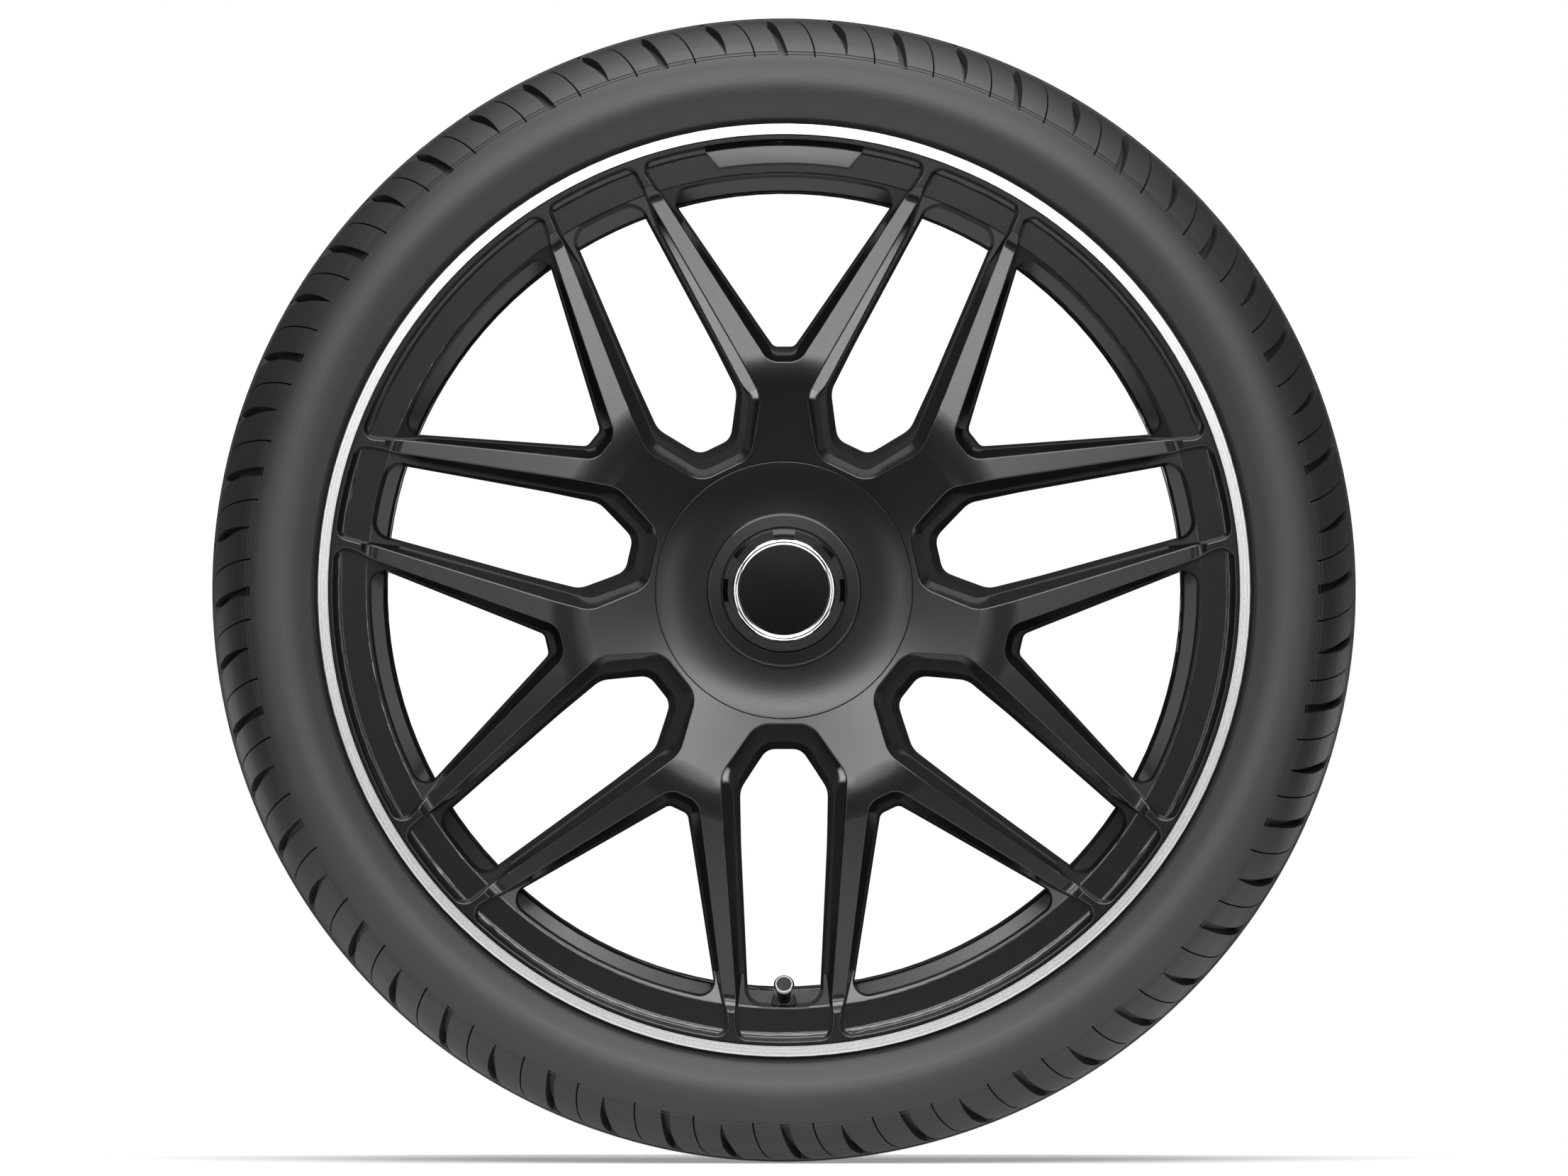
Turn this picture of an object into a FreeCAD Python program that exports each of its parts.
"""Forged car wheel with seven Y spokes, its tyre, hub cover, centre nut and valve, in millimetres.

The origin is the wheel centre in the rim's middle plane.
The spin axis is Y and the outer face looks towards -Y.
One spoke points up along +Z and the valve is at the bottom.
"""
import FreeCAD, Part

import functools
import math
import os
from collections import namedtuple

# Rim contour
RIM_WIDTH = 228.6
BEAD_RADIUS = 254.0
BEAD_TAPER = 5.0
BEAD_HEEL = 6.5
BEAD_LENGTH = 18.8
HUMP_HEIGHT = 0.9
HUMP_WIDTH = 2.0
HUMP_RUN = 2.0
FLANGE_RADIUS = 271.5
FLANGE_CURL = 7.2
FLANGE_WIDTH = 13.0
LIP_FACE = 6.4
LIP_ROUND = 1.2
LIP_GROOVE_WIDTH = 1.2
LIP_GROOVE_DEPTH = 1.8
WELL_RADIUS = 236.5
WELL_WALL_ANGLE = 24.0
WELL_LENGTH = 40.0
WELL_ROUND = 4.0
RAMP_LENGTH = 24.0
RAMP_RISE = 10.0
BARREL_WALL = 5.5
REAR_LIP_FACE = 4.0

# Disc face
RING_SETBACK = 2.3
STEP_RADIUS = 247.3
STEP_RUN = 4.7
STEP_ANGLE = 40.0
STEP_EDGE = 1.0
STEP_SWEEP = 13.0
SPOKE_SLOPE = 5.5
RIDGE_RADIUS = 126.9
RIDGE_ROUND = 100.0
DISH_SLOPE = 8.5

# Disc back
DISC_BACK_DEPTH = 28.0
SPOKE_BACK_RADIUS = 150.0
SPOKE_BACK_RISE = 8.0
HUB_NECK_RADIUS = 98.0
HUB_NECK_RISE = 18.0
SPOKE_BACK_ROUND = 40.0

# Hub
MOUNTING_OFFSET = 35.0
PAD_RADIUS = 76.0
PAD_HEIGHT = 14.0
HUB_BORE_RADIUS = 33.3
HUB_BORE_DEPTH = 14.0
HUB_FLOOR_THICKNESS = 23.0
BOLT_COUNT = 5
BOLT_CIRCLE_RADIUS = 56.0
BOLT_HOLE_RADIUS = 7.5
BOLT_SEAT_RADIUS = 11.5
BOLT_SEAT_DEPTH = 4.0
RECESS_RADIUS = 75.1
RECESS_DEPTH = 9.0
HUB_WELL_RADIUS = 70.0
BOSS_RADIUS = 38.0
BOSS_HEIGHT = 18.0

# Windows
SPOKE_COUNT = 7
SHELF_DEPTH = 6.4
SHELF_COVE = 5.0
SHELF_EDGE_RADIUS = 243.0
SHELF_EDGE_ROUND = 3.0
SHELF_RAMP_RADIUS = 224.0
FACE_EDGE_ROUND = 0.9
FACE_EDGE_TILT = 0.6
FACE_EDGE_ANGLE = 30.0
FACE_EDGE_SAMPLES = (0.2, 0.5, 0.8)
TOOL_OVERRUN = 20.0
COVE_OVERLAP = 0.3
RIM_GUARD_DEPTH = 4.0
RIM_GUARD_MARGIN = 9.0
DIVIDING_RADIUS = 229.8

# Badge pad
PAD_INNER_RADIUS = 248.0
PAD_OUTER_RADIUS = 258.7
PAD_HALF_WIDTH = 38.2
PAD_SIDE_ANGLE = 38.0
BADGE_HEIGHT = 2.0
BADGE_SINK = 0.6

# Hub cover
COVER_GAP = 0.3
COVER_WALL = 3.0
COVER_FLAT_RADIUS = 60.4
COVER_SWEEP = 180.0
COVER_SKIRT_WALL = 3.2
COVER_BOSS_RADIUS = 44.9
COVER_BOSS_HEIGHT = 2.8
COVER_BOSS_ROUND = 1.6
COVER_BOSS_RISE = 0.3
COVER_SEAT_DEPTH = 2.0
COVER_EDGE_ROUND = 0.4
SLEEVE_WALL = 4.3
SLEEVE_LENGTH = 8.5
SEAL_HEIGHT = 1.5
SEAL_INSET = 0.4

# Centre nut
NUT_RADIUS = 35.6
NUT_GAP = 1.0
NUT_BODY_HEIGHT = 5.4
NUT_RIM_ROUND = 0.5
LUG_COUNT = 8
LUG_HALF_ANGLE = 11.0
LUG_INNER_RADIUS = 31.9
LUG_TOP_RADIUS = 32.7
LUG_HEIGHT = 3.0
LUG_FOOT_HEIGHT = 0.5
LUG_INSET = 0.15
LUG_SINK = 0.5
SHANK_RADIUS = 29.85
SHANK_BORE_RADIUS = 24.0
SHANK_LENGTH = 62.0
THREAD_CLEARANCE = 0.15
SLEEVE_CLEARANCE = 0.3
WASHER_HEIGHT = 0.8
WASHER_CLEARANCE = 0.3
CIRCLIP_HEIGHT = 1.5
CIRCLIP_REACH = 3.1
CIRCLIP_GROOVE_DEPTH = 1.2
CIRCLIP_CLEARANCE = 0.1
CIRCLIP_GAP_ANGLE = 24.0

# Emblem
EMBLEM_RADIUS = 30.0
EMBLEM_FIT = 0.05
EMBLEM_DEPTH = 3.0
EMBLEM_RING_WIDTH = 3.9
EMBLEM_RING_HEIGHT = 5.3
EMBLEM_RING_CROWN = 1.7
EMBLEM_DISC_HEIGHT = 2.9
EMBLEM_DISC_DOME = 0.5

# Tyre
TYRE_RADIUS = 333.5
TYRE_WIDTH = 268.4
CROWN_HALF_WIDTH = 55.0
SHOULDER_HALF_WIDTH = 104.0
SHOULDER_DROP = 3.6
BLOCK_FOOT_RADIUS = 312.0
BLOCK_FOOT_INSET = 5.7
BULGE_RADIUS = 291.0
SIDEWALL_FOOT_RADIUS = 275.0
SIDEWALL_FOOT_INSET = 9.0
CROWN_ROUND = 600.0
SHOULDER_ROUND = 60.0
BLOCK_FOOT_ROUND = 30.0
BULGE_ROUND = 24.0
SIDEWALL_FOOT_ROUND = 3.0
BEAD_CLEARANCE = 0.15
BEAD_THICKNESS = 15.0
BEAD_HEIGHT = 10.0
FLANGE_CONTACT = 1.0
SIDEWALL_THICKNESS = 9.7
TREAD_THICKNESS = 15.0
CHAMBER_ROUND = 14.0
TREAD_GROOVE_DEPTH = 7.0
TREAD_GROOVE_WIDTH = 11.0
TREAD_GROOVE_PLACES = (-72.0, -25.0, 25.0, 72.0)
SHOULDER_GROOVE_PAIRS = 28
SHOULDER_GROOVE_OFFSET = 6.17
SHOULDER_GROOVE_WIDTHS = (5.4, 4.4)
SHOULDER_GROOVE_FEET = (309.5, 314.0)
SHOULDER_GROOVE_INNER_PLACE = 86.0
SHOULDER_GROOVE_LEAN = 0.32
SHOULDER_GROOVE_EXIT = 2.5

# Valve
VALVE_RADIUS = 239.8
VALVE_HOLE_RADIUS = 5.75
VALVE_SPOT_RADIUS = 8.5
VALVE_SPOT_DEPTH = 0.3
VALVE_SPOT_REACH = 22.0
GROMMET_RADIUS = 7.15
GROMMET_HEIGHT = 3.0
GROMMET_INNER_RADIUS = 7.4
GROMMET_INNER_HEIGHT = 2.6
GROMMET_FIT = 0.05
GROMMET_ROUND = 1.2
STEM_RADIUS = 3.9
STEM_TOP = 25.0
STEM_HEAD_RADIUS = 6.4
STEM_HEAD_HEIGHT = 4.0
STEM_BORE_RADIUS = 1.6
STEM_FIT = 0.05
CORE_BORE_RADIUS = 2.6
CORE_BORE_DEPTH = 15.5
CORE_FIT = 0.05
CORE_TOP_INSET = 1.5
CORE_LENGTH = 10.5
CORE_CHAMBER_RADIUS = 1.75
CORE_CHAMBER_LENGTH = 5.5
CORE_FLOOR = 1.0
PIN_RADIUS = 0.6
PIN_CLEARANCE = 0.1
PIN_TOP_INSET = 0.8
PIN_COLLAR_RADIUS = 1.45
PIN_COLLAR_HEIGHT = 0.6
PIN_CUP_RADIUS = 1.9
PIN_CUP_HEIGHT = 1.1
SPRING_RADIUS = 1.1
SPRING_WIRE_RADIUS = 0.2
SPRING_TURNS = 5
VALVE_WASHER_RADIUS = 6.3
VALVE_WASHER_HEIGHT = 0.8
VALVE_NUT_SIDES = 6
VALVE_NUT_FLATS = 11.0
VALVE_NUT_HEIGHT = 5.0
VALVE_NUT_CHAMFER = 0.8
CAP_RADIUS = 6.0
CAP_BASE_RADIUS = 5.6
CAP_LENGTH = 11.0
CAP_BEVEL = 1.0
CAP_CLEARANCE = 0.1
CAP_DISC_RADIUS = 4.4
CAP_DISC_HEIGHT = 0.5
CAP_DISC_FIT = 0.05
CAP_END_WALL = 0.7
CAP_SEAL_HEIGHT = 0.4
CAP_SEAL_WIDTH = 1.2

# Pressure sensor
SENSOR_WIDTH = 40.0
SENSOR_HEIGHT = 15.0
SENSOR_LENGTH = 24.0
SENSOR_ROUND = 4.0
SCREW_RADIUS = 1.5
SCREW_FIT = 0.05
SCREW_GRIP = 6.0
SCREW_HEAD_RADIUS = 3.2
SCREW_HEAD_HEIGHT = 2.4
SCREW_HEAD_CLEARANCE = 0.4
SCREW_WEB = 5.0

# Balance weights
WEIGHT_SPOKE = 3
WEIGHT_ARM_ANGLE = 17.7
WEIGHT_SPAN = 4.4
WEIGHT_HEIGHT = 4.0
WEIGHT_LENGTH = 14.0
WEIGHT_SPACING = 16.0
WEIGHT_ROWS = 2
WEIGHT_START = 5.0
WEIGHT_EDGE_ROUND = 0.8
WEIGHT_TAPE = 0.1

# One window: its outline at the floor plane, the draft of its wall and the hole below
Outline = namedtuple("Outline", "corners rounds side_angle rim_radius rim_round")
Window = namedtuple("Window", "turn floor_depth wall_draft wall hole_draft hole hole_reach")

TRIANGLE_WINDOW = Window(
    turn=0.0,
    floor_depth=11.0,
    wall_draft=17.5,
    wall=Outline([(5.9, 138.2)], [5.0], 34.3, 258.9, 3.5),
    hole_draft=3.5,
    hole=Outline([(6.8, 140.1)], [6.0], 34.3, 241.2, 9.0),
    hole_reach=36.0,
)
SLOT_WINDOW = Window(
    turn=180.0 / SPOKE_COUNT,
    floor_depth=15.0,
    wall_draft=17.5,
    wall=Outline([(13.2, 82.7), (29.9, 108.6)], [9.0, 11.0], -2.6, 257.7, 2.5),
    hole_draft=6.0,
    hole=Outline([(12.4, 88.0), (28.9, 115.4)], [13.0, 17.0], -3.1, 241.8, 10.5),
    hole_reach=50.0,
)

# Places that follow from the sizes
ORIGIN = FreeCAD.Vector(0, 0, 0)
X_AXIS = FreeCAD.Vector(1, 0, 0)
SPIN_AXIS = FreeCAD.Vector(0, 1, 0)
FLANGE_WALL = RIM_WIDTH / 2
LIP_FRONT = FLANGE_WALL + FLANGE_WIDTH


def slope(degrees):
    """Rise per unit of run at an angle."""
    return math.tan(math.radians(degrees))


LIP_INNER_RADIUS = FLANGE_RADIUS - LIP_FACE
RING_FACE = -LIP_FRONT + RING_SETBACK
FOOT_RADIUS = STEP_RADIUS - STEP_RUN
FOOT_PLACE = RING_FACE + STEP_RUN * slope(STEP_ANGLE)
RIDGE_PLACE = FOOT_PLACE - (FOOT_RADIUS - RIDGE_RADIUS) * slope(SPOKE_SLOPE)
PAD_PLACE = -MOUNTING_OFFSET
HUB_FLOOR = PAD_PLACE - HUB_FLOOR_THICKNESS
SHELF_PLACE = RING_FACE + SHELF_DEPTH
DISC_BACK = RING_FACE + DISC_BACK_DEPTH
HUMP_START = FLANGE_WALL - BEAD_LENGTH
HUMP_FOOT_RADIUS = BEAD_RADIUS - (BEAD_LENGTH - BEAD_HEEL) * slope(BEAD_TAPER)
HUMP_RADIUS = HUMP_FOOT_RADIUS + HUMP_HEIGHT
HUMP_END = HUMP_START - 2 * HUMP_RUN - HUMP_WIDTH
WELL_TOP_RADIUS = HUMP_FOOT_RADIUS - HUMP_HEIGHT
WELL_FRONT = -HUMP_END + (WELL_TOP_RADIUS - WELL_RADIUS) * slope(WELL_WALL_ANGLE)
WELL_REAR = WELL_FRONT + WELL_LENGTH
INNER_RADIUS = WELL_RADIUS - BARREL_WALL
WALL_SHIFT = -BARREL_WALL * math.tan(math.radians(45 - WELL_WALL_ANGLE / 2))


def dish_place(radius):
    """Place along the axis of the dished hub face at a radius inside the ridge."""
    return RIDGE_PLACE + (RIDGE_RADIUS - radius) * slope(DISH_SLOPE)


def rounded_wire(corners):
    """Closed wire through (x, y, radius) corners in the XY plane, each radius a tangent arc."""
    points = [FreeCAD.Vector(x, y, 0) for x, y, _ in corners]
    rounds = [radius for _, _, radius in corners]
    count = len(points)
    legs = [points[(index + 1) % count] - points[index] for index in range(count)]
    half_turns = [legs[index - 1].getAngle(legs[index]) / 2 for index in range(count)]
    reaches = [radius * math.tan(half_turn) for radius, half_turn in zip(rounds, half_turns)]
    for index, leg in enumerate(legs):
        following = (index + 1) % count
        share = min(1.0, leg.Length / max(reaches[index] + reaches[following], leg.Length))
        for end in (index, following):
            rounds[end] *= share
            reaches[end] *= share
    starts, middles, ends = [], [], []
    for index, point in enumerate(points):
        arriving = (point - points[index - 1]).normalize()
        leaving = (points[(index + 1) % count] - point).normalize()
        half_turn = half_turns[index]
        reach = reaches[index]
        starts.append(point - arriving * reach)
        ends.append(point + leaving * reach)
        inward = leaving - arriving
        depth = rounds[index] / math.cos(half_turn) - rounds[index]
        middles.append(point + inward.normalize() * depth if rounds[index] else point)
    edges = []
    for index in range(len(points)):
        if rounds[index]:
            edges.append(Part.Arc(starts[index], middles[index], ends[index]).toShape())
        following = starts[(index + 1) % len(points)]
        if ends[index].distanceToPoint(following) > Part.Precision.confusion():
            edges.append(Part.LineSegment(ends[index], following).toShape())
    return Part.Wire(edges)


def turned(corners, sweep=360.0):
    """Solid turned about the spin axis from (radius, place, round) corners."""
    return Part.Face(rounded_wire(corners)).revolve(ORIGIN, SPIN_AXIS, sweep)


def plain(points):
    """Corners without rounds."""
    return [(radius, place, 0.0) for radius, place in points]


def ring(inner, outer, low, high):
    """Plain ring between two radii and two places."""
    return turned(plain([(inner, low), (outer, low), (outer, high), (inner, high)]))


def rod(radius, low, high):
    """Plain cylinder on the spin axis between two places."""
    return Part.makeCylinder(radius, high - low, FreeCAD.Vector(0, low, 0), SPIN_AXIS)


def spun(shape, degrees):
    """Copy turned about the spin axis."""
    return shape.rotated(ORIGIN, SPIN_AXIS, degrees)


def pattern(shape, count, first=0.0):
    """Evenly spaced copies about the spin axis."""
    return [spun(shape, first + index * 360.0 / count) for index in range(count)]


def flange_profile(side, clearance=0.0):
    """Bead seat, heel and flange curl on one side, from the hump outwards, offset by a clearance."""
    return [
        (HUMP_FOOT_RADIUS + clearance, side * HUMP_START, 0.0),
        (BEAD_RADIUS + clearance, side * (FLANGE_WALL - clearance), BEAD_HEEL - clearance),
        (FLANGE_RADIUS + clearance, side * (FLANGE_WALL - clearance), FLANGE_CURL + clearance),
    ]


def barrel_outside():
    """Tyre side of the rim from the front hump, through the well, to the rear hump."""
    return [
        (HUMP_RADIUS, -HUMP_START + HUMP_RUN, 0.0),
        (HUMP_RADIUS, -HUMP_START + HUMP_RUN + HUMP_WIDTH, 0.0),
        (WELL_TOP_RADIUS, -HUMP_END, 0.0),
        (WELL_RADIUS, WELL_FRONT, WELL_ROUND),
        (WELL_RADIUS, WELL_REAR, WELL_ROUND),
        (WELL_RADIUS + RAMP_RISE, WELL_REAR + RAMP_LENGTH, WELL_ROUND),
        (WELL_TOP_RADIUS, HUMP_END, 0.0),
        (HUMP_RADIUS, HUMP_START - HUMP_RUN - HUMP_WIDTH, 0.0),
        (HUMP_RADIUS, HUMP_START - HUMP_RUN, 0.0),
    ]


def barrel_inside():
    """Brake side of the rim, one wall thickness inside the tyre side, from rear to front."""
    rear_radius = WELL_TOP_RADIUS - BARREL_WALL
    return [
        (FLANGE_RADIUS, LIP_FRONT, LIP_ROUND),
        (FLANGE_RADIUS - REAR_LIP_FACE, LIP_FRONT, LIP_ROUND),
        (BEAD_RADIUS + BEAD_HEEL - BARREL_WALL, FLANGE_WALL + BARREL_WALL, BEAD_HEEL),
        (rear_radius, FLANGE_WALL - BEAD_HEEL, BEAD_HEEL),
        (rear_radius, HUMP_END, 0.0),
        (INNER_RADIUS + RAMP_RISE, WELL_REAR + RAMP_LENGTH, WELL_ROUND),
        (INNER_RADIUS, WELL_REAR, WELL_ROUND),
        (INNER_RADIUS, WELL_FRONT + WALL_SHIFT, WELL_ROUND),
        (rear_radius, inner_wall_place(rear_radius), 0.0),
    ]


def inner_wall_place(radius):
    """Place of the inner side of the well's front wall at a radius."""
    return WELL_FRONT + WALL_SHIFT - (radius - INNER_RADIUS) * slope(WELL_WALL_ANGLE)


def disc_back():
    """Back of the spokes and the hub pad, from the rim inwards to the hub bore."""
    rear_radius = WELL_TOP_RADIUS - BARREL_WALL
    spoke_back = DISC_BACK + SPOKE_BACK_RISE
    return [
        (rear_radius, DISC_BACK, 0.0),
        (SPOKE_BACK_RADIUS, spoke_back, SPOKE_BACK_ROUND),
        (HUB_NECK_RADIUS, spoke_back + HUB_NECK_RISE, SPOKE_BACK_ROUND),
        (PAD_RADIUS, PAD_PLACE - PAD_HEIGHT, 0.0),
        (PAD_RADIUS, PAD_PLACE, LIP_ROUND),
        (HUB_BORE_RADIUS, PAD_PLACE, LIP_ROUND),
        (HUB_BORE_RADIUS, PAD_PLACE - HUB_BORE_DEPTH, 0.0),
    ]


def hub_front():
    """Centre boss, bolt well and cover recess, from the bore outwards to the dish."""
    boss_bore = SHANK_RADIUS + THREAD_CLEARANCE
    boss_top = HUB_FLOOR - BOSS_HEIGHT
    recess_top = dish_place(RECESS_RADIUS)
    recess_seat = recess_top + RECESS_DEPTH
    return [
        (boss_bore, PAD_PLACE - HUB_BORE_DEPTH, 0.0),
        (boss_bore, boss_top, LIP_ROUND),
        (BOSS_RADIUS, boss_top, LIP_ROUND),
        (BOSS_RADIUS, HUB_FLOOR, 0.0),
        (HUB_WELL_RADIUS, HUB_FLOOR, WELL_ROUND),
        (HUB_WELL_RADIUS, recess_seat, 0.0),
        (RECESS_RADIUS, recess_seat, 0.0),
        (RECESS_RADIUS, recess_top, 0.0),
    ]


def disc_face():
    """Dish, spoke face, step, outer ring and lip groove, from the recess outwards to the lip."""
    groove_floor = RING_FACE + LIP_GROOVE_DEPTH
    ring_edge = LIP_INNER_RADIUS - LIP_GROOVE_WIDTH
    return [
        (RIDGE_RADIUS, RIDGE_PLACE, RIDGE_ROUND),
        (FOOT_RADIUS, FOOT_PLACE, STEP_SWEEP),
        (STEP_RADIUS, RING_FACE, STEP_EDGE),
        (ring_edge, RING_FACE, 0.0),
        (ring_edge, groove_floor, 0.0),
        (LIP_INNER_RADIUS, groove_floor, 0.0),
        (LIP_INNER_RADIUS, -LIP_FRONT, 0.0),
        (FLANGE_RADIUS, -LIP_FRONT, LIP_ROUND),
    ]


def wheel_blank():
    """Rim, disc and hub turned as one forging."""
    front = list(reversed(flange_profile(-1)))
    rear = flange_profile(1)
    corners = front + barrel_outside() + rear + barrel_inside() + disc_back() + hub_front() + disc_face()
    return turned(corners)


def unit(pair):
    """Pair scaled to length one."""
    length = math.hypot(*pair)
    return (pair[0] / length, pair[1] / length)


def moved(point, direction, distance):
    """Point moved along a direction."""
    return (point[0] + direction[0] * distance, point[1] + direction[1] * distance)


def line_corner(first, second, radius):
    """Entry, middle and exit of the arc that rounds two (normal, distance) lines."""
    (a, b), p = first[0], first[1] - radius
    (c, d), q = second[0], second[1] - radius
    scale = a * d - b * c
    centre = ((p * d - b * q) / scale, (a * q - p * c) / scale)
    middle = unit((a + c, b + d))
    return [moved(centre, first[0], radius), moved(centre, middle, radius), moved(centre, second[0], radius)]


def rim_corner(line, rim_radius, radius):
    """Entry, middle and exit of the arc that rounds a side line into the rim arc."""
    normal, distance = line[0], line[1] - radius
    along = (-normal[1], normal[0])
    reach = math.sqrt((rim_radius - radius) ** 2 - distance ** 2)
    centre = moved((normal[0] * distance, normal[1] * distance), along, reach)
    outward = unit(centre)
    middle = unit((normal[0] + outward[0], normal[1] + outward[1]))
    return [moved(centre, normal, radius), moved(centre, middle, radius), moved(centre, outward, radius)]


def window_wire(outline, grow, place):
    """Closed outline of a window, symmetric about the +Z axis, grown outwards by a distance."""
    hub_end = outline.corners[0][1]
    lines = [((0.0, -1.0), grow - hub_end)]
    headings = [(b[0] - a[0], b[1] - a[1]) for a, b in zip(outline.corners, outline.corners[1:])]
    headings.append((slope(outline.side_angle), 1.0))
    for corner, heading in zip(outline.corners, headings):
        along = unit(heading)
        normal = (along[1], -along[0])
        lines.append((normal, normal[0] * corner[0] + normal[1] * corner[1] + grow))
    arcs = []
    for index, corner_round in enumerate(outline.rounds):
        arcs.append(line_corner(lines[index], lines[index + 1], corner_round + grow))
    rim_radius = outline.rim_radius + grow
    arcs.append(rim_corner(lines[-1], rim_radius, outline.rim_round + grow))
    mirrored = [[(-u, v) for u, v in reversed(arc)] for arc in reversed(arcs)]

    def at(point):
        return FreeCAD.Vector(point[0], place, point[1])

    edges = []
    loop = arcs + mirrored
    for index, arc in enumerate(loop):
        edges.append(Part.Arc(*[at(point) for point in arc]).toShape())
        start, end = at(arc[2]), at(loop[(index + 1) % len(loop)][0])
        if index == len(arcs) - 1:
            edges.append(Part.Arc(start, at((0.0, rim_radius)), end).toShape())
        else:
            edges.append(Part.LineSegment(start, end).toShape())
    return Part.Wire(edges)


def window_loft(outline, floor, draft, front, back):
    """Drafted prism through an outline that is true at the floor place."""
    wires = [window_wire(outline, (floor - place) * slope(draft), place) for place in (front, back)]
    return Part.makeLoft(wires, True, True)


def shelf(window, floor):
    """Metal left standing at the rim end of a window: a coved shelf that ramps down to the floor."""
    draft = slope(window.wall_draft)
    front = -LIP_FRONT - TOOL_OVERRUN
    wall = window.wall.rim_radius + COVE_OVERLAP
    outer = FLANGE_RADIUS + TOOL_OVERRUN
    return turned([
        (wall + (floor - SHELF_PLACE) * draft, SHELF_PLACE, SHELF_COVE),
        (wall + (floor - front) * draft, front, 0.0),
        (outer, front, 0.0),
        (outer, floor + TOOL_OVERRUN, 0.0),
        (SHELF_RAMP_RADIUS, floor + TOOL_OVERRUN, 0.0),
        (SHELF_RAMP_RADIUS, floor + COVE_OVERLAP, 0.0),
        (SHELF_EDGE_RADIUS, SHELF_PLACE, SHELF_EDGE_ROUND),
    ])


def rim_guard():
    """Space behind the disc that the window holes leave alone, so that the rim stays airtight."""
    return ring(INNER_RADIUS - RIM_GUARD_MARGIN, FLANGE_RADIUS, DISC_BACK + RIM_GUARD_DEPTH, -DISC_BACK)


def window_cutter(window):
    """Tool for one window: drafted wall down to the floor and shelf, then the through hole."""
    floor = RING_FACE + window.floor_depth
    front = -LIP_FRONT - TOOL_OVERRUN
    wall = window_loft(window.wall, floor, window.wall_draft, front, floor)
    wall = wall.cut(shelf(window, floor))
    hole_front = SHELF_PLACE - SHELF_EDGE_ROUND
    hole = window_loft(window.hole, floor, window.hole_draft, hole_front, floor + window.hole_reach)
    return spun(wall.fuse(hole.cut(rim_guard())), window.turn)


def badge_pad():
    """Flat blank pad on the shelf of the top window."""
    top = SHELF_PLACE - BADGE_HEIGHT
    band = ring(PAD_INNER_RADIUS, PAD_OUTER_RADIUS, top, SHELF_PLACE + BADGE_SINK)
    lean = slope(PAD_SIDE_ANGLE)
    centre = math.sqrt(PAD_INNER_RADIUS ** 2 - PAD_HALF_WIDTH ** 2)
    points = []
    for side, height in ((-1, -TOOL_OVERRUN), (-1, TOOL_OVERRUN), (1, TOOL_OVERRUN), (1, -TOOL_OVERRUN)):
        points.append(FreeCAD.Vector(side * (PAD_HALF_WIDTH + height * lean), top, centre + height))
    wedge = Part.Face(Part.makePolygon(points + points[:1])).extrude(SPIN_AXIS * (BADGE_HEIGHT + BADGE_SINK))
    return band.common(wedge)


def bolt_cutter():
    """Bolt hole with its conical seat, on the bolt circle above the axis."""
    base = FreeCAD.Vector(0, HUB_FLOOR, BOLT_CIRCLE_RADIUS)
    hole = Part.makeCylinder(BOLT_HOLE_RADIUS, HUB_FLOOR_THICKNESS + TOOL_OVERRUN, base, SPIN_AXIS)
    seat = Part.makeCone(BOLT_SEAT_RADIUS, BOLT_HOLE_RADIUS, BOLT_SEAT_DEPTH, base, SPIN_AXIS)
    return hole.fuse(seat)


def on_valve(shape):
    """Place a shape, made about the spin axis, on the valve axis with its zero at the well wall."""
    seat = FreeCAD.Vector(0, inner_wall_place(VALVE_RADIUS), -VALVE_RADIUS)
    return shape.rotated(ORIGIN, X_AXIS, 180 - WELL_WALL_ANGLE).translated(seat)


def valve_cutter():
    """Valve hole with a flat spot face on each side; the front one scallops the window's edge."""
    hole = rod(VALVE_HOLE_RADIUS, -BARREL_WALL - TOOL_OVERRUN / 2, VALVE_SPOT_REACH)
    spot = rod(VALVE_SPOT_RADIUS, -VALVE_SPOT_DEPTH, VALVE_SPOT_REACH)
    tyre_spot = rod(GROMMET_INNER_RADIUS + VALVE_SPOT_DEPTH, -BARREL_WALL - TOOL_OVERRUN / 2, -BARREL_WALL)
    return on_valve(hole.fuse([spot, tyre_spot]))


def face_edges(shape):
    """Edges where the window walls meet the outer face between the hub recess and the lip groove."""
    inner_limit = RECESS_RADIUS + COVER_GAP
    outer_limit = LIP_INNER_RADIUS - LIP_GROOVE_WIDTH - COVER_GAP
    chosen = []
    for edge in shape.Edges:
        first, last = edge.ParameterRange
        samples = [edge.valueAt(first + (last - first) * share) for share in FACE_EDGE_SAMPLES]
        radii = [math.hypot(point.x, point.z) for point in samples]
        if min(radii) < inner_limit or max(radii) > outer_limit:
            continue
        faces = shape.ancestorsOfType(edge, Part.Face)
        if len(faces) != 2:
            continue
        normals = []
        for face in faces:
            normals.append(face.normalAt(*face.Surface.parameter(samples[1])))
        forward = min(normal.y for normal in normals)
        sharp = math.degrees(normals[0].getAngle(normals[1]))
        ahead = samples[1].y < SHELF_PLACE - BADGE_HEIGHT
        if forward < -FACE_EDGE_TILT and sharp > FACE_EDGE_ANGLE and ahead:
            chosen.append(edge)
    return chosen


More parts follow.
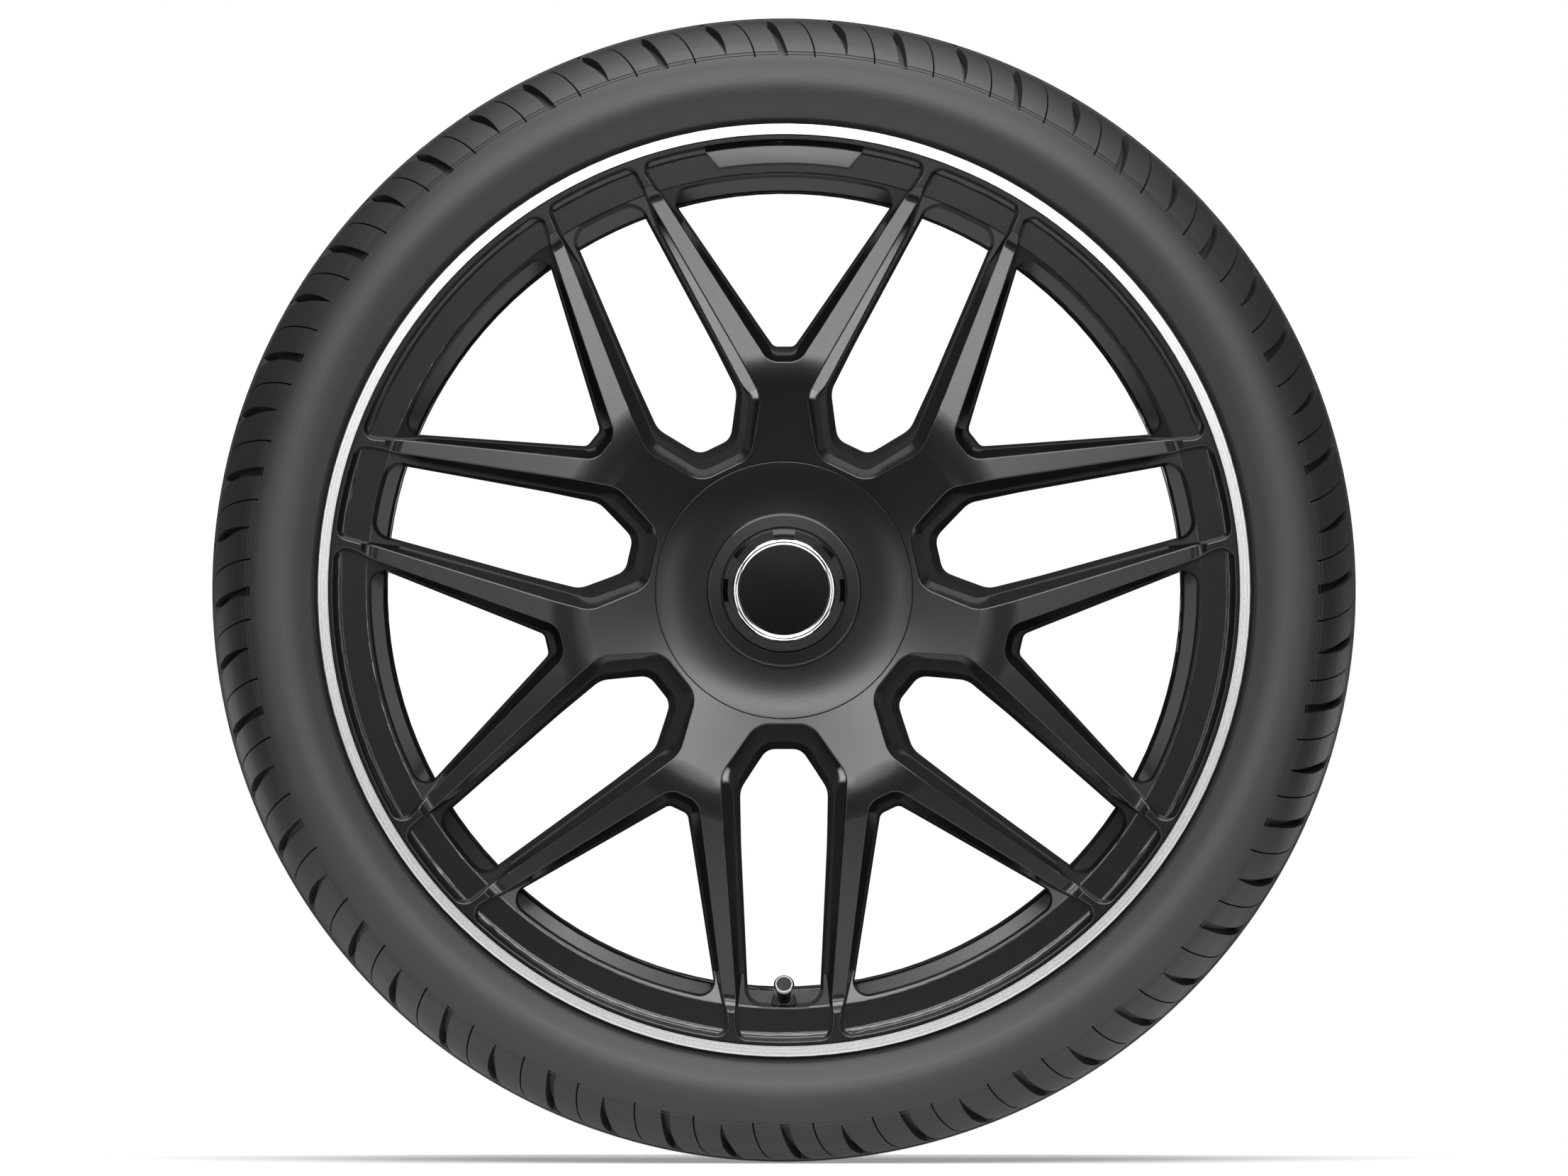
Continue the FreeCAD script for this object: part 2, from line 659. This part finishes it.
@functools.lru_cache
def forging():
    """Rim, spokes and hub in one piece with all holes cut."""
    cutters = []
    for window in (TRIANGLE_WINDOW, SLOT_WINDOW):
        cutters += pattern(window_cutter(window), SPOKE_COUNT)
    wheel = wheel_blank().cut(cutters)
    wheel = wheel.makeFillet(FACE_EDGE_ROUND, face_edges(wheel))
    wheel = wheel.fuse(badge_pad())
    return wheel.cut(pattern(bolt_cutter(), BOLT_COUNT) + [valve_cutter()])


def spoke_span():
    """Everything inside the radius where the forging is divided."""
    return rod(DIVIDING_RADIUS, -RIM_WIDTH, RIM_WIDTH)


def spoke_centre():
    """Hub and spokes of the forging."""
    return forging().common(spoke_span())


def rim_barrel():
    """Rim of the forging with the outer ends of the spokes."""
    return forging().cut(spoke_span())


COVER_RADIUS = RECESS_RADIUS - COVER_GAP
RECESS_SEAT = dish_place(RECESS_RADIUS) + RECESS_DEPTH
COVER_EDGE = dish_place(COVER_RADIUS)
COVER_FLAT = COVER_EDGE + (COVER_RADIUS - COVER_FLAT_RADIUS) * slope(DISH_SLOPE)
COVER_BOSS_EDGE = COVER_FLAT - COVER_BOSS_HEIGHT
COVER_BOSS_TOP = COVER_BOSS_EDGE - COVER_BOSS_RISE
NUT_SEAT = COVER_BOSS_TOP + COVER_SEAT_DEPTH
SLEEVE_BORE = SHANK_RADIUS + SLEEVE_CLEARANCE
SLEEVE_END = NUT_SEAT + SLEEVE_LENGTH
SKIRT_INNER_RADIUS = COVER_RADIUS - COVER_SKIRT_WALL
SKIRT_END = RECESS_SEAT - SEAL_HEIGHT
NUT_FOOT = NUT_SEAT - WASHER_HEIGHT
NUT_TOP = NUT_FOOT - NUT_BODY_HEIGHT
EMBLEM_FLOOR = NUT_TOP + EMBLEM_DEPTH
CIRCLIP_FRONT = SLEEVE_END + CIRCLIP_CLEARANCE
CIRCLIP_BACK = CIRCLIP_FRONT + CIRCLIP_HEIGHT
CIRCLIP_GROOVE_RADIUS = SHANK_RADIUS - CIRCLIP_GROOVE_DEPTH


def hub_cover():
    """Dished cover with a skirt on the recess seat and a sleeve for the nut's shank."""
    sleeve_radius = SLEEVE_BORE + SLEEVE_WALL
    return turned([
        (SLEEVE_BORE, NUT_SEAT, 0.0),
        (NUT_RADIUS + NUT_GAP, NUT_SEAT, 0.0),
        (NUT_RADIUS + NUT_GAP, COVER_BOSS_TOP, COVER_EDGE_ROUND),
        (COVER_BOSS_RADIUS, COVER_BOSS_EDGE, COVER_BOSS_ROUND),
        (COVER_BOSS_RADIUS, COVER_FLAT, 0.0),
        (COVER_FLAT_RADIUS, COVER_FLAT, COVER_SWEEP),
        (COVER_RADIUS, COVER_EDGE, COVER_EDGE_ROUND),
        (COVER_RADIUS, SKIRT_END, 0.0),
        (SKIRT_INNER_RADIUS, SKIRT_END, 0.0),
        (SKIRT_INNER_RADIUS, COVER_FLAT + COVER_WALL, COVER_BOSS_ROUND),
        (sleeve_radius, COVER_FLAT + COVER_WALL, COVER_BOSS_ROUND),
        (sleeve_radius, SLEEVE_END, 0.0),
        (SLEEVE_BORE, SLEEVE_END, 0.0),
    ])


def cover_seal():
    """Flat seal between the cover's skirt and the recess seat."""
    return ring(SKIRT_INNER_RADIUS + SEAL_INSET, COVER_RADIUS - SEAL_INSET, SKIRT_END, RECESS_SEAT)


def nut_washer():
    """Slip washer between the cover's boss and the nut."""
    return ring(SHANK_RADIUS + WASHER_CLEARANCE, NUT_RADIUS, NUT_FOOT, NUT_SEAT)


def nut_lug():
    """One castellation with a bevelled outer face, on the +X axis."""
    outer = NUT_RADIUS - LUG_INSET
    lug = turned(plain([
        (LUG_INNER_RADIUS, NUT_TOP + LUG_SINK),
        (outer, NUT_TOP + LUG_SINK),
        (outer, NUT_TOP - LUG_FOOT_HEIGHT),
        (LUG_TOP_RADIUS, NUT_TOP - LUG_HEIGHT),
        (LUG_INNER_RADIUS, NUT_TOP - LUG_HEIGHT),
    ]), 2 * LUG_HALF_ANGLE)
    return spun(lug, -LUG_HALF_ANGLE)


def centre_nut():
    """Castellated nut with its tubular shank, circlip groove and emblem recess."""
    shank_end = NUT_FOOT + SHANK_LENGTH
    groove_front = CIRCLIP_FRONT - CIRCLIP_CLEARANCE
    groove_back = CIRCLIP_BACK + CIRCLIP_CLEARANCE
    body = turned([
        (SHANK_BORE_RADIUS, shank_end, 0.0),
        (SHANK_RADIUS, shank_end, LIP_ROUND),
        (SHANK_RADIUS, groove_back, 0.0),
        (CIRCLIP_GROOVE_RADIUS, groove_back, 0.0),
        (CIRCLIP_GROOVE_RADIUS, groove_front, 0.0),
        (SHANK_RADIUS, groove_front, 0.0),
        (SHANK_RADIUS, NUT_FOOT, 0.0),
        (NUT_RADIUS, NUT_FOOT, NUT_RIM_ROUND),
        (NUT_RADIUS, NUT_TOP, NUT_RIM_ROUND),
        (EMBLEM_RADIUS + EMBLEM_FIT, NUT_TOP, 0.0),
        (EMBLEM_RADIUS + EMBLEM_FIT, EMBLEM_FLOOR, 0.0),
        (SHANK_BORE_RADIUS, EMBLEM_FLOOR, 0.0),
    ])
    return body.fuse(pattern(nut_lug(), LUG_COUNT))


def nut_circlip():
    """Open spring ring in the shank's groove, behind the cover's sleeve."""
    inner = CIRCLIP_GROOVE_RADIUS + CIRCLIP_CLEARANCE
    outer = inner + CIRCLIP_REACH
    section = [(inner, CIRCLIP_FRONT), (outer, CIRCLIP_FRONT), (outer, CIRCLIP_BACK), (inner, CIRCLIP_BACK)]
    return turned(plain(section), 360.0 - CIRCLIP_GAP_ANGLE)


def emblem_ring():
    """Bright half-round ring pressed into the nut."""
    inner = EMBLEM_RADIUS - EMBLEM_RING_WIDTH
    top = EMBLEM_FLOOR - EMBLEM_RING_HEIGHT
    return turned([
        (inner, EMBLEM_FLOOR, 0.0),
        (EMBLEM_RADIUS, EMBLEM_FLOOR, 0.0),
        (EMBLEM_RADIUS, top, EMBLEM_RING_CROWN),
        (inner, top, EMBLEM_RING_CROWN),
    ])


def emblem_disc():
    """Bare, slightly domed disc inside the emblem ring."""
    radius = EMBLEM_RADIUS - EMBLEM_RING_WIDTH - EMBLEM_FIT
    sphere_radius = (radius ** 2 + EMBLEM_DISC_DOME ** 2) / (2 * EMBLEM_DISC_DOME)
    crown = EMBLEM_FLOOR - EMBLEM_DISC_HEIGHT - EMBLEM_DISC_DOME
    sphere = Part.makeSphere(sphere_radius, FreeCAD.Vector(0, crown + sphere_radius, 0))
    return rod(radius, crown, EMBLEM_FLOOR).common(sphere)


def tyre_outside(side):
    """Outside of one half of the tyre, from the crown down to the bead toe."""
    half_width = TYRE_WIDTH / 2
    bead = list(reversed(flange_profile(side, BEAD_CLEARANCE)))
    flange_top = (FLANGE_RADIUS + BEAD_CLEARANCE, side * (FLANGE_WALL + FLANGE_CURL + FLANGE_CONTACT), 0.0)
    return [
        (TYRE_RADIUS, side * CROWN_HALF_WIDTH, CROWN_ROUND),
        (TYRE_RADIUS - SHOULDER_DROP, side * SHOULDER_HALF_WIDTH, SHOULDER_ROUND),
        (BLOCK_FOOT_RADIUS, side * (half_width - BLOCK_FOOT_INSET), BLOCK_FOOT_ROUND),
        (BULGE_RADIUS, side * half_width, BULGE_ROUND),
        (SIDEWALL_FOOT_RADIUS, side * (half_width - SIDEWALL_FOOT_INSET), SIDEWALL_FOOT_ROUND),
        flange_top,
    ] + bead


def tyre_inside(side):
    """Air chamber of one half of the tyre, from the bead up to the crown."""
    return [
        (BEAD_RADIUS + BEAD_HEIGHT, side * (FLANGE_WALL - BEAD_THICKNESS), 0.0),
        (BULGE_RADIUS, side * (TYRE_WIDTH / 2 - SIDEWALL_THICKNESS), CHAMBER_ROUND),
        (TYRE_RADIUS - SHOULDER_DROP - TREAD_THICKNESS, side * SHOULDER_HALF_WIDTH, CHAMBER_ROUND),
        (TYRE_RADIUS - TREAD_THICKNESS, side * CROWN_HALF_WIDTH, 0.0),
    ]


def shoulder_groove(side, width, foot_radius):
    """Cutter for one lateral groove over the shoulder, on the +Z axis and leaning round the wheel."""
    shoulder_floor = TYRE_RADIUS - SHOULDER_DROP - TREAD_GROOVE_DEPTH
    open_place = TYRE_WIDTH / 2 + TOOL_OVERRUN
    open_radius = TYRE_RADIUS + TOOL_OVERRUN
    foot_place = TYRE_WIDTH / 2 - BLOCK_FOOT_INSET + SHOULDER_GROOVE_EXIT
    section = [
        (SHOULDER_GROOVE_INNER_PLACE, open_radius),
        (SHOULDER_GROOVE_INNER_PLACE, shoulder_floor),
        (SHOULDER_HALF_WIDTH, shoulder_floor),
        (foot_place, foot_radius),
        (open_place, foot_radius),
        (open_place, open_radius),
    ]
    points = []
    for place, radius in section:
        shift = (place - foot_place) * SHOULDER_GROOVE_LEAN - width / 2
        points.append(FreeCAD.Vector(shift, side * place, radius))
    return Part.Face(Part.makePolygon(points + points[:1])).extrude(X_AXIS * width)


def tyre():
    """Hollow tyre with tread grooves and alternating open and closed shoulder grooves."""
    front = tyre_outside(-1) + tyre_inside(-1)
    rear = tyre_outside(1) + tyre_inside(1)
    body = turned(front + list(reversed(rear)))
    tools = []
    floor = TYRE_RADIUS - TREAD_GROOVE_DEPTH
    for place in TREAD_GROOVE_PLACES:
        low, high = place - TREAD_GROOVE_WIDTH / 2, place + TREAD_GROOVE_WIDTH / 2
        tools.append(ring(floor, TYRE_RADIUS + TOOL_OVERRUN, low, high))
    for side in (-1, 1):
        for index, (width, foot) in enumerate(zip(SHOULDER_GROOVE_WIDTHS, SHOULDER_GROOVE_FEET)):
            cutter = shoulder_groove(side, width, foot)
            tools += pattern(cutter, SHOULDER_GROOVE_PAIRS, index * SHOULDER_GROOVE_OFFSET)
    return body.cut(tools)


STEM_SHOULDER = -BARREL_WALL - GROMMET_INNER_HEIGHT
STEM_BOTTOM = STEM_SHOULDER - STEM_HEAD_HEIGHT
GROMMET_TOP = GROMMET_HEIGHT - VALVE_SPOT_DEPTH
VALVE_NUT_FOOT = GROMMET_TOP + VALVE_WASHER_HEIGHT
CAP_INSIDE = STEM_TOP + CAP_SEAL_HEIGHT
CAP_DISC_SEAT = CAP_INSIDE + CAP_END_WALL
CAP_END = CAP_DISC_SEAT + CAP_DISC_HEIGHT
CAP_BASE = CAP_END - CAP_LENGTH
CORE_TOP = STEM_TOP - CORE_TOP_INSET
CORE_BOTTOM = CORE_TOP - CORE_LENGTH
CHAMBER_BOTTOM = CORE_BOTTOM + CORE_FLOOR
CHAMBER_TOP = CHAMBER_BOTTOM + CORE_CHAMBER_LENGTH
COLLAR_TOP = CHAMBER_TOP - PIN_CLEARANCE
COLLAR_BOTTOM = COLLAR_TOP - PIN_COLLAR_HEIGHT
CUP_TOP = CORE_BOTTOM - PIN_CLEARANCE


def valve_stem():
    """Metal stem with its head inside the tyre and the bore for the core."""
    bore_end = STEM_TOP - CORE_BORE_DEPTH
    return on_valve(turned([
        (STEM_BORE_RADIUS, STEM_BOTTOM, 0.0),
        (STEM_HEAD_RADIUS, STEM_BOTTOM, NUT_RIM_ROUND),
        (STEM_HEAD_RADIUS, STEM_SHOULDER, 0.0),
        (STEM_RADIUS, STEM_SHOULDER, 0.0),
        (STEM_RADIUS, STEM_TOP, NUT_RIM_ROUND),
        (CORE_BORE_RADIUS, STEM_TOP, 0.0),
        (CORE_BORE_RADIUS, bore_end, 0.0),
        (STEM_BORE_RADIUS, bore_end, 0.0),
    ]))


def valve_grommet():
    """Rubber grommet through the well wall, with a flange on each side."""
    inner = STEM_RADIUS + STEM_FIT
    plug = VALVE_HOLE_RADIUS - GROMMET_FIT
    return on_valve(turned([
        (inner, STEM_SHOULDER, 0.0),
        (GROMMET_INNER_RADIUS, STEM_SHOULDER, NUT_RIM_ROUND),
        (GROMMET_INNER_RADIUS, -BARREL_WALL, 0.0),
        (plug, -BARREL_WALL, 0.0),
        (plug, -VALVE_SPOT_DEPTH, 0.0),
        (GROMMET_RADIUS, -VALVE_SPOT_DEPTH, 0.0),
        (GROMMET_RADIUS, GROMMET_TOP, GROMMET_ROUND),
        (inner, GROMMET_TOP, 0.0),
    ]))


def valve_washer():
    """Flat washer between the grommet and the valve nut."""
    return on_valve(ring(STEM_RADIUS + STEM_FIT, VALVE_WASHER_RADIUS, GROMMET_TOP, VALVE_NUT_FOOT))


def valve_nut():
    """Hexagon nut that clamps the stem."""
    corner_radius = VALVE_NUT_FLATS / 2 / math.cos(math.pi / VALVE_NUT_SIDES)
    points = []
    for index in range(VALVE_NUT_SIDES + 1):
        angle = 2 * math.pi * index / VALVE_NUT_SIDES
        across, up = corner_radius * math.cos(angle), corner_radius * math.sin(angle)
        points.append(FreeCAD.Vector(across, VALVE_NUT_FOOT, up))
    prism = Part.Face(Part.makePolygon(points)).extrude(SPIN_AXIS * VALVE_NUT_HEIGHT)
    top = VALVE_NUT_FOOT + VALVE_NUT_HEIGHT
    hole = rod(STEM_RADIUS + STEM_FIT, VALVE_NUT_FOOT - VALVE_NUT_HEIGHT, top + VALVE_NUT_HEIGHT)
    dressing = turned([
        (0.0, VALVE_NUT_FOOT, 0.0),
        (corner_radius + NUT_RIM_ROUND, VALVE_NUT_FOOT, 0.0),
        (corner_radius + NUT_RIM_ROUND, top - VALVE_NUT_CHAMFER, 0.0),
        (VALVE_NUT_FLATS / 2 - NUT_RIM_ROUND, top, 0.0),
        (0.0, top, 0.0),
    ])
    return on_valve(prism.common(dressing).cut(hole))


def valve_core():
    """Core body with a spring chamber around the pin."""
    outer = CORE_BORE_RADIUS - CORE_FIT
    inner = PIN_RADIUS + PIN_CLEARANCE
    return on_valve(turned(plain([
        (inner, CORE_BOTTOM),
        (outer, CORE_BOTTOM),
        (outer, CORE_TOP),
        (inner, CORE_TOP),
        (inner, CHAMBER_TOP),
        (CORE_CHAMBER_RADIUS, CHAMBER_TOP),
        (CORE_CHAMBER_RADIUS, CHAMBER_BOTTOM),
        (inner, CHAMBER_BOTTOM),
    ])))


def valve_pin():
    """Core pin with the collar that the spring lifts and the cup that seals the core."""
    return on_valve(turned(plain([
        (0.0, CUP_TOP - PIN_CUP_HEIGHT),
        (PIN_CUP_RADIUS, CUP_TOP - PIN_CUP_HEIGHT),
        (PIN_CUP_RADIUS, CUP_TOP),
        (PIN_RADIUS, CUP_TOP),
        (PIN_RADIUS, COLLAR_BOTTOM),
        (PIN_COLLAR_RADIUS, COLLAR_BOTTOM),
        (PIN_COLLAR_RADIUS, COLLAR_TOP),
        (PIN_RADIUS, COLLAR_TOP),
        (PIN_RADIUS, STEM_TOP - PIN_TOP_INSET),
        (0.0, STEM_TOP - PIN_TOP_INSET),
    ])))


def valve_spring():
    """Coil spring between the core's floor and the pin's collar."""
    height = COLLAR_BOTTOM - CHAMBER_BOTTOM - 2 * SPRING_WIRE_RADIUS
    helix = Part.makeHelix(height / SPRING_TURNS, height, SPRING_RADIUS)
    start = FreeCAD.Vector(SPRING_RADIUS, 0, 0)
    section = Part.Wire(Part.makeCircle(SPRING_WIRE_RADIUS, start, FreeCAD.Vector(0, 1, 0)))
    coil = Part.Wire(helix.Edges).makePipeShell([section], True, True)
    upright = coil.rotated(ORIGIN, X_AXIS, -90)
    return on_valve(upright.translated(SPIN_AXIS * (CHAMBER_BOTTOM + SPRING_WIRE_RADIUS)))


def valve_cap():
    """Metal cap with a bevelled end and a seat for its end disc."""
    inner = STEM_RADIUS + CAP_CLEARANCE
    disc_seat = CAP_DISC_RADIUS + CAP_DISC_FIT
    return on_valve(turned([
        (inner, CAP_BASE, 0.0),
        (CAP_BASE_RADIUS, CAP_BASE, NUT_RIM_ROUND),
        (CAP_RADIUS, CAP_END - CAP_BEVEL, CAP_BEVEL),
        (CAP_RADIUS - CAP_BEVEL, CAP_END, 0.0),
        (disc_seat, CAP_END, 0.0),
        (disc_seat, CAP_DISC_SEAT, 0.0),
        (0.0, CAP_DISC_SEAT, 0.0),
        (0.0, CAP_INSIDE, 0.0),
        (inner, CAP_INSIDE, 0.0),
    ]))


def valve_cap_seal():
    """Seal ring between the stem's top and the cap."""
    return on_valve(ring(STEM_RADIUS - CAP_SEAL_WIDTH, STEM_RADIUS, STEM_TOP, CAP_INSIDE))


def valve_cap_disc():
    """Bare disc set into the cap's end."""
    return on_valve(rod(CAP_DISC_RADIUS, CAP_DISC_SEAT, CAP_END))


def pressure_sensor():
    """Sensor housing on the stem's head inside the tyre, with a sunk hole for its screw."""
    back = STEM_BOTTOM - SENSOR_LENGTH
    corner = FreeCAD.Vector(-SENSOR_WIDTH / 2, back, -SENSOR_HEIGHT / 2)
    box = Part.makeBox(SENSOR_WIDTH, SENSOR_LENGTH, SENSOR_HEIGHT, corner)
    long_edges = [edge for edge in box.Edges if edge.Vertexes[0].Point.y != edge.Vertexes[1].Point.y]
    housing = box.makeFillet(SENSOR_ROUND, long_edges)
    hole = rod(SCREW_RADIUS + SCREW_FIT, back, STEM_BOTTOM)
    sink = rod(SCREW_HEAD_RADIUS + SCREW_HEAD_CLEARANCE, back, STEM_BOTTOM - SCREW_WEB)
    return on_valve(housing.cut([hole, sink]))


def sensor_screw():
    """Screw through the sensor housing into the stem's head."""
    head_front = STEM_BOTTOM - SCREW_WEB
    shank = rod(SCREW_RADIUS, head_front, STEM_BOTTOM + SCREW_GRIP)
    return on_valve(shank.fuse(rod(SCREW_HEAD_RADIUS, head_front - SCREW_HEAD_HEIGHT, head_front)))


def balance_weights():
    """Adhesive weights in rows on the well's inner side, hidden behind two spoke arms."""
    outer = INNER_RADIUS - WEIGHT_TAPE
    inner = outer - WEIGHT_HEIGHT
    first = WELL_FRONT + WALL_SHIFT + WEIGHT_START
    weights = []
    for arm in (-WEIGHT_ARM_ANGLE, WEIGHT_ARM_ANGLE):
        turn = WEIGHT_SPOKE * 360.0 / SPOKE_COUNT + arm - 90.0 - WEIGHT_SPAN / 2
        for row in range(WEIGHT_ROWS):
            low = first + row * WEIGHT_SPACING
            high = low + WEIGHT_LENGTH
            section = [
                (inner, low, WEIGHT_EDGE_ROUND),
                (outer, low, 0.0),
                (outer, high, 0.0),
                (inner, high, WEIGHT_EDGE_ROUND),
            ]
            weights.append(spun(turned(section, WEIGHT_SPAN), turn))
    return Part.makeCompound(weights)


PIECES = (
    spoke_centre, rim_barrel, tyre, hub_cover, cover_seal, nut_washer, centre_nut, nut_circlip, emblem_ring, emblem_disc,
    valve_stem, valve_grommet, valve_washer, valve_nut, valve_core, valve_pin, valve_spring,
    valve_cap, valve_cap_seal, valve_cap_disc, pressure_sensor, sensor_screw, balance_weights,
)


def main():
    """Build every piece and write one STEP file each."""
    os.makedirs("parts", exist_ok=True)
    for piece in PIECES:
        piece().exportStep(f"parts/{piece.__name__}.step")


if __name__ == "__main__":
    main()
